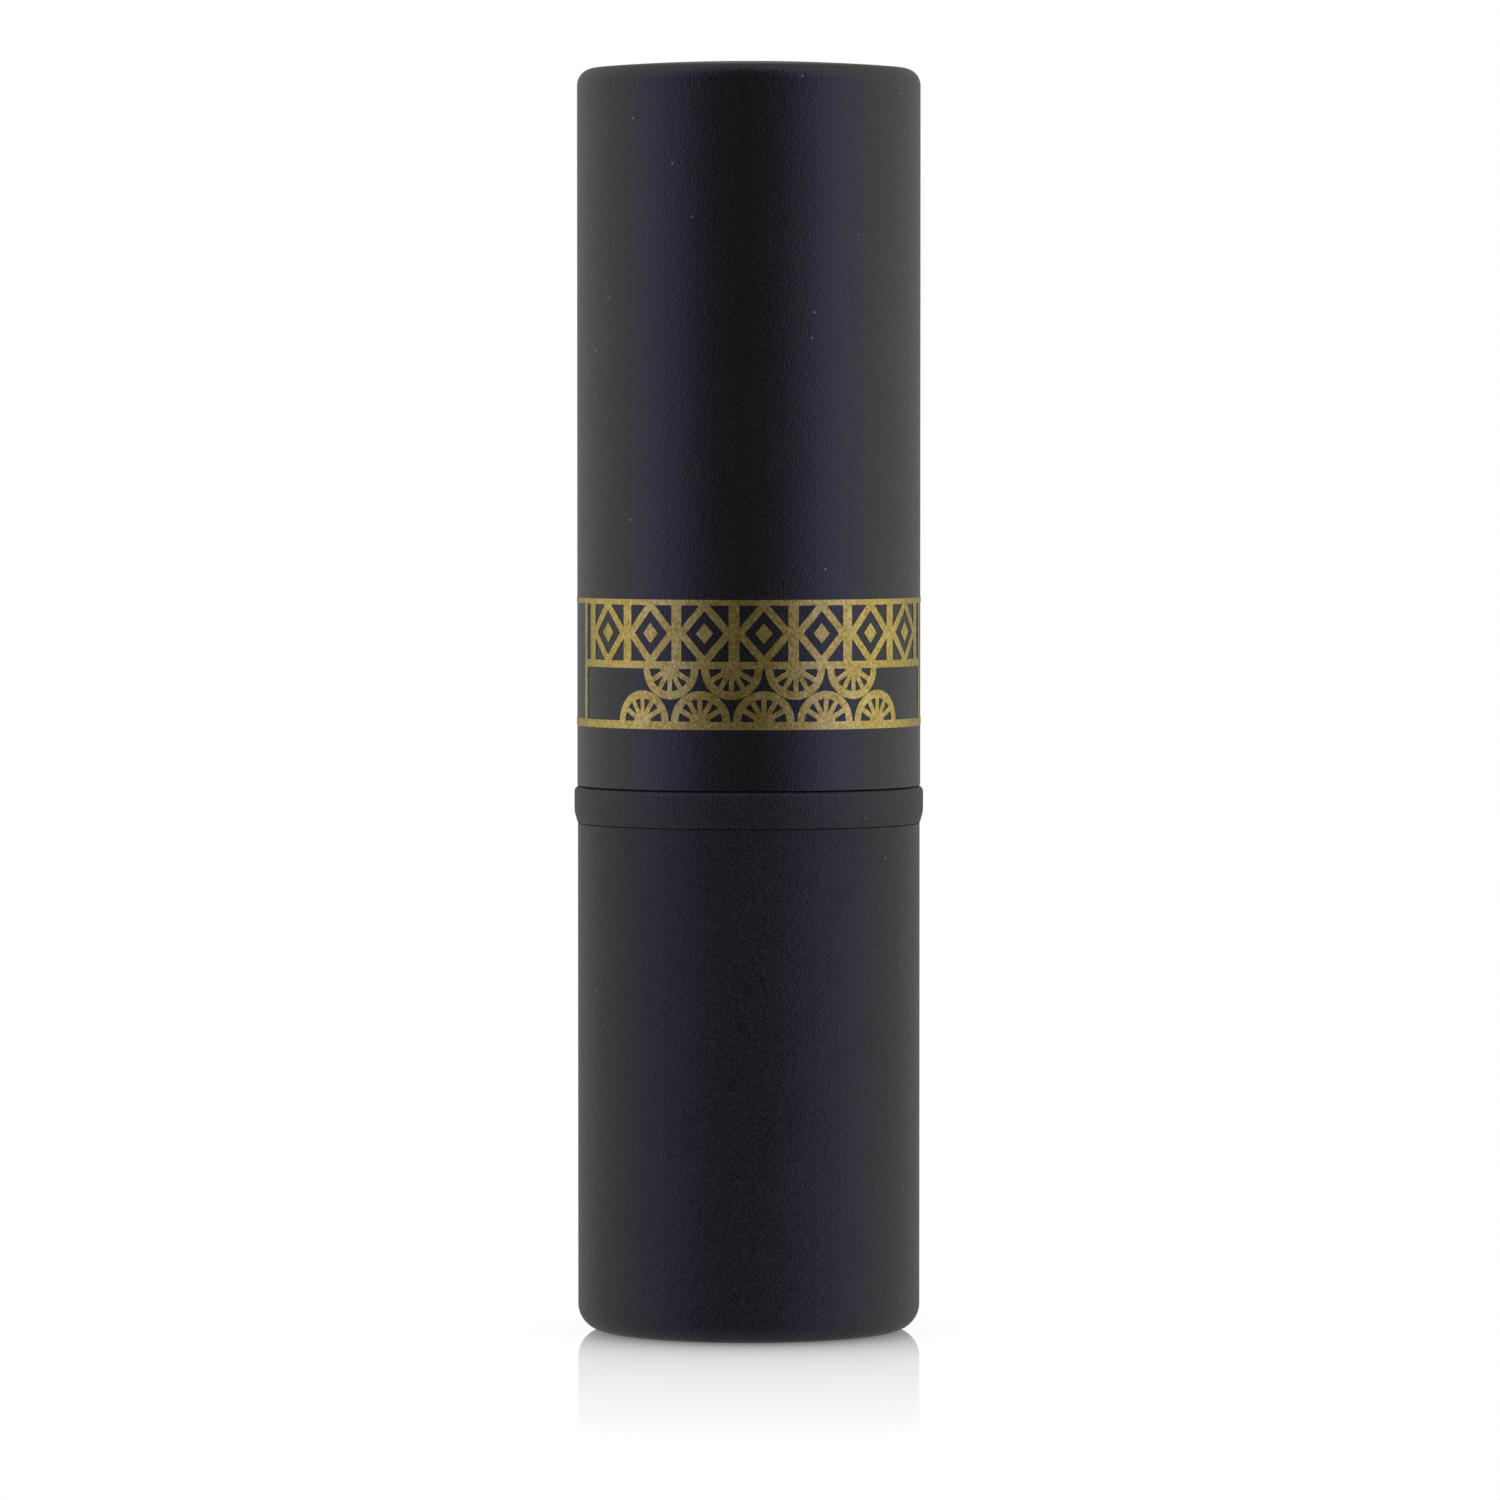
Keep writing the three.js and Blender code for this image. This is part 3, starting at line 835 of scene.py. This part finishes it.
def sun(x, y, outer, up):
    """Half a sun: a solid half disc, rays, and an arch round them. It hangs if `up` is -1."""
    def at(radius, angle):
        return (x + radius * math.cos(angle), y + up * radius * math.sin(angle))

    inner = outer - SUN_STROKE
    core = SUN_CORE * outer
    angles = [math.pi * i / SUN_STEPS for i in range(SUN_STEPS + 1)]
    shapes = [[at(core, angle) for angle in angles]]
    for first, second in zip(angles, angles[1:]):
        shapes.append([at(inner, first), at(outer, first), at(outer, second), at(inner, second)])
    shapes = [shape[::up] for shape in shapes]
    for i in range(1, RAYS + 1):
        angle = math.pi * i / (RAYS + 1)
        shapes.append(spoke(at(core * 0.9, angle), at(inner + SUN_STROKE / 2, angle), RAY_STROKE))
    return shapes


def sun_row(left, right, bottom, top):
    """Half suns standing on the bottom line, and others hanging between them."""
    pitch = (right - left) / SUNS
    outer = SUN_SHARE * pitch
    shapes = []
    for i in range(SUNS):
        shapes += sun(left + pitch * (i + 0.5), bottom, outer, 1)
    for i in range(1, SUNS):
        shapes += sun(left + pitch * i, top, outer, -1)
    return shapes


def panel_pattern(left, right, bottom, top):
    """The flat pattern of one panel: frame lines, the row of lozenges and the row of half suns."""
    rows = top - bottom - TOP_LINE - MIDDLE_LINE - BOTTOM_LINE
    lower_bottom = bottom + BOTTOM_LINE
    lower_top = lower_bottom + LOWER_SHARE * rows
    upper_bottom = lower_top + MIDDLE_LINE
    upper_top = top - TOP_LINE
    shapes = [
        bar(left, lower_top, right, upper_bottom),
        bar(left, bottom, left + END_LINE, top),
        bar(right - END_LINE, bottom, right, top),
    ]
    shapes += lozenge_row(left + LOZENGE_MARGIN, right - LOZENGE_MARGIN,
                          upper_bottom - OVERLAP, upper_top + OVERLAP)
    shapes += sun_row(left + SUN_MARGIN, right - SUN_MARGIN,
                      lower_bottom - OVERLAP, lower_top + OVERLAP)
    return shapes


def joined_flat(shapes, cuts):
    """Joins flat polygons that overlap into one sheet of triangles, with extra cuts across it."""
    points, edges, faces = [], [], []
    for shape in shapes:
        start = len(points)
        points += [Vector(point) for point in shape]
        faces.append(list(range(start, start + len(shape))))
    for first, second in cuts:
        edges.append((len(points), len(points) + 1))
        points += [Vector(first), Vector(second)]
    unit = MM  # the joining works best on numbers near 1
    scaled = [point / unit for point in points]
    corners, _, triangles, _, _, came_from = geometry.delaunay_2d_cdt(scaled, edges, faces, 0, 1e-5)
    kept = [triangle for triangle, origin in zip(triangles, came_from) if origin]
    return [corner * unit for corner in corners], kept


def foil_band(look):
    """The foil: the flat pattern, joined into one sheet, bent round the cap and given a thickness."""
    bottom, top = heights("gold_band")
    outer = (radius_of("cap_shell") + radius_of("gold_band")) / 2
    inner = radius_of("cap_shell") - 0.02 * MM
    around_cap = TURN * outer
    half_turn = around_cap / PANELS
    left, right = outer * PANEL_START, outer * PANEL_END
    seam = left - 1.5 * MM
    shapes = []
    for i in range(PANELS):
        shift = half_turn * i
        pattern = panel_pattern(left, right, bottom, top)
        shapes += [[(x + shift, y) for x, y in shape] for shape in pattern]
    shapes.append(bar(seam, bottom, seam + around_cap, bottom + BOTTOM_LINE))
    shapes.append(bar(seam, top - TOP_LINE, seam + around_cap, top))
    steps = round(TURN / FOIL_STEP)
    cuts = []
    for i in range(1, steps):
        x = seam + around_cap * i / steps
        cuts.append(((x, bottom), (x, top)))
    points, faces = joined_flat(shapes, cuts)

    def at_seam(pair):
        """Whether an edge lies where the two ends of the sheet meet, and needs no wall."""
        ends = (seam, seam + around_cap)
        return any(all(abs(points[i].x - end) < SAME_PLACE for i in pair) for end in ends)

    shape = bmesh.new()
    layers = []
    for radius in (outer, inner):
        layer = []
        for point in points:
            angle = point.x / outer
            layer.append(shape.verts.new((radius * math.cos(angle), radius * math.sin(angle), point.y)))
        layers.append(layer)
    sides = {}
    for face in faces:
        shape.faces.new([layers[0][i] for i in face])
        shape.faces.new([layers[1][i] for i in reversed(face)])
        for i, j in zip(face, face[1:] + face[:1]):
            sides[frozenset((i, j))] = None if frozenset((i, j)) in sides else (i, j)
    for pair in sides.values():
        if pair and not at_seam(pair):
            i, j = pair
            shape.faces.new([layers[0][j], layers[0][i], layers[1][i], layers[1][j]])
    bmesh.ops.remove_doubles(shape, verts=shape.verts, dist=SAME_PLACE)
    return new_piece("foil_band", shape, "cap", "gold_band", look)


# ---------------------------------------------------------------- stage, light and camera

def make_camera():
    camera = bpy.data.objects.new("camera", bpy.data.cameras.new("camera"))
    camera.data.lens = LENS
    camera.data.sensor_width = SENSOR
    camera.location = (CAMERA_SIDE, -CAMERA_DISTANCE, CAMERA_HEIGHT)
    pitch = math.atan2(CAMERA_HEIGHT - CAMERA_AIM, CAMERA_DISTANCE)
    camera.rotation_euler = (math.pi / 2 - pitch, 0, 0)
    bpy.context.scene.collection.objects.link(camera)
    bpy.context.scene.camera = camera


# What lights the case: tall lights all round it, as strong overhead as at the horizon and weaker below.
# Their strength depends on the compass angle from an axis that points roughly at the camera. A broad
# light is strongest at the sides, weak at the back and weakest in front. A cool one lies over its
# front part.
LIGHT_AXIS_TURN = math.radians(-3)  # how far the axis is turned to the right of the camera
FRONT_TO = math.radians(12)  # the broad light is weakest up to this angle
BROAD_MIDDLE = math.radians(82)  # and strongest at this one
FRONT_SHARE = 0.12
BACK_SHARE = 0.35
BROAD_COLOUR = (0.92, 0.94, 0.90)
COOL_MIDDLE = math.radians(60)
COOL_REACH = math.radians(32)
COOL_COLOUR = (0.02, 0.02, 0.70)
BELOW_SHARE = 0.62  # what is left of the light straight below
LEFT_LIGHT = 0.89  # the strength of all the light from the left,
RIGHT_LIGHT = 1.04  # and from the right
BACKDROP = (1.0, 1.0, 1.0)


def studio_light(studio):
    """The light on the case from each direction: the broad light and the cool one, added."""
    direction = studio.made("ShaderNodeTexCoord").outputs["Generated"]
    heading = studio.vector("NORMALIZE", studio.vector("MULTIPLY", direction, Vector((1, 1, 0)))["Vector"])
    axis = Vector((math.sin(LIGHT_AXIS_TURN), -math.cos(LIGHT_AXIS_TURN), 0))
    angle = studio.math("ARCCOSINE", studio.vector("DOT_PRODUCT", heading["Vector"], axis)["Value"])
    to_sides = studio.spread(angle, FRONT_SHARE, 1, FRONT_TO, BROAD_MIDDLE, "SMOOTHSTEP")
    to_back = studio.spread(angle, 1, BACK_SHARE, BROAD_MIDDLE, math.pi, "SMOOTHSTEP")
    broad = studio.math("MULTIPLY", to_sides, to_back)
    from_middle = studio.math("ABSOLUTE", studio.math("SUBTRACT", angle, COOL_MIDDLE))
    cool = studio.spread(from_middle, 1, 0, 0, COOL_REACH, "SMOOTHSTEP")
    from_below = studio.spread(studio.part("Z", direction), BELOW_SHARE, 1, -1, 0, "SMOOTHSTEP")
    sideways = studio.spread(studio.part("X", heading["Vector"]), LEFT_LIGHT, RIGHT_LIGHT, -1, 1)
    strength = studio.math("MULTIPLY", from_below, sideways)
    lights = []
    for colour, share in ((BROAD_COLOUR, broad), (COOL_COLOUR, cool)):
        full = studio.math("MULTIPLY", share, strength)
        lights.append(studio.made("ShaderNodeBackground", colour, full).outputs[0])
    return studio.made("ShaderNodeAddShader", *lights).outputs[0]


def make_world():
    """A white backdrop, for the camera and for what the floor mirrors, and the light for the case."""
    world = bpy.data.worlds.new("studio")
    bpy.context.scene.world = world
    world.use_nodes = True
    studio = Graph(world.node_tree)
    backdrop = studio.made("ShaderNodeBackground", BACKDROP).outputs[0]
    path = studio.made("ShaderNodeLightPath").outputs
    straight = studio.math("MAXIMUM", path["Is Camera Ray"], path["Is Singular Ray"])
    surface = studio.mixed(straight, studio_light(studio), backdrop)
    studio.join(surface, studio.nodes["World Output"].inputs["Surface"])


FLOOR_SIZE = 3.0  # metres from its middle to its edge
FLOOR_DROP = 0.01 * MM  # how far the floor lies under the foot, so that the two never coincide
GLOSS_FAR = 0.27  # the wide part of the floor's mirroring, which fades evenly
GLOSS_REACH = 50 * MM  # where it has faded out
GLOSS_NEAR = 0.60  # the part close to the foot of the case, which fades fast
GLOSS_NEAR_REACH = 4.2 * MM
SHADE = 0.10  # how dark the soft shade is where the case meets the floor
SHADE_REACH = 1.5 * MM


def make_floor():
    """A white glossy floor, whose mirror image fades with the distance from the case."""
    look = Look("floor")
    distance = look.vector("LENGTH", look.place)["Value"]
    away = look.math("MAXIMUM", look.math("SUBTRACT", distance, foot_radius()))
    shade = look.math("EXPONENT", look.math("MULTIPLY", away, -1 / SHADE_REACH))
    light = look.math("SUBTRACT", 1.0, look.math("MULTIPLY", shade, SHADE))
    near = look.math("EXPONENT", look.math("MULTIPLY", away, -1 / GLOSS_NEAR_REACH))
    gloss = look.math("ADD", look.spread(away, GLOSS_FAR, 0, 0, GLOSS_REACH),
                      look.math("MULTIPLY", near, GLOSS_NEAR))
    white = look.made("ShaderNodeEmission", light).outputs[0]
    mirror = look.made("ShaderNodeBsdfGlossy", light, 0.0).outputs[0]
    clear = look.made("ShaderNodeBsdfTransparent").outputs[0]
    backfacing = look.made("ShaderNodeNewGeometry").outputs["Backfacing"]
    surface = look.mixed(backfacing, look.mixed(gloss, white, mirror), clear)
    look.join(surface, look.nodes["Material Output"].inputs["Surface"])
    shape = bmesh.new()
    bmesh.ops.create_grid(shape, x_segments=1, y_segments=1, size=FLOOR_SIZE)
    mesh = bpy.data.meshes.new("floor")
    shape.to_mesh(mesh)
    shape.free()
    mesh.materials.append(look.material)
    floor = bpy.data.objects.new("floor", mesh)
    floor.location.z = -FLOOR_DROP
    bpy.context.scene.collection.objects.link(floor)
    floor.visible_diffuse = False
    floor.visible_glossy = False
    floor.visible_transmission = False
    floor.visible_shadow = False


# ---------------------------------------------------------------- the whole scene

make_camera()
make_world()
make_floor()

cap_lacquer = soft_touch_black("cap_lacquer", shine=0.5, smooth=0.20, rough=0.32, depth=0.038 * MM,
                               dark=(0.0020, 0.0020, 0.0018), light=(0.0150, 0.0149, 0.0138))
base_lacquer = soft_touch_black("base_lacquer", shine=0.25, smooth=0.22, rough=0.36, depth=0.045 * MM,
                                dark=(0.0120, 0.0120, 0.0116), light=(0.0405, 0.0405, 0.0390))
liner = liner_black()
gold = gold_metal()
plain_acetal = acetal()

base_outer(base_lacquer)
base_inner(liner)
weight(steel())
foot_label(label_film(radius_of("shade_label")))
guide(plain_acetal)
brake(silicone())
barrel(gold)
cam_sleeve(plain_acetal)
collar(collar_black())
cup(gold)
stick(lipstick_wax())
cap_outer(cap_lacquer)
cap_inner(liner)
foil_band(gold_foil())

bpy.context.scene.view_settings.view_transform = "Standard"
bpy.context.view_layer.update()
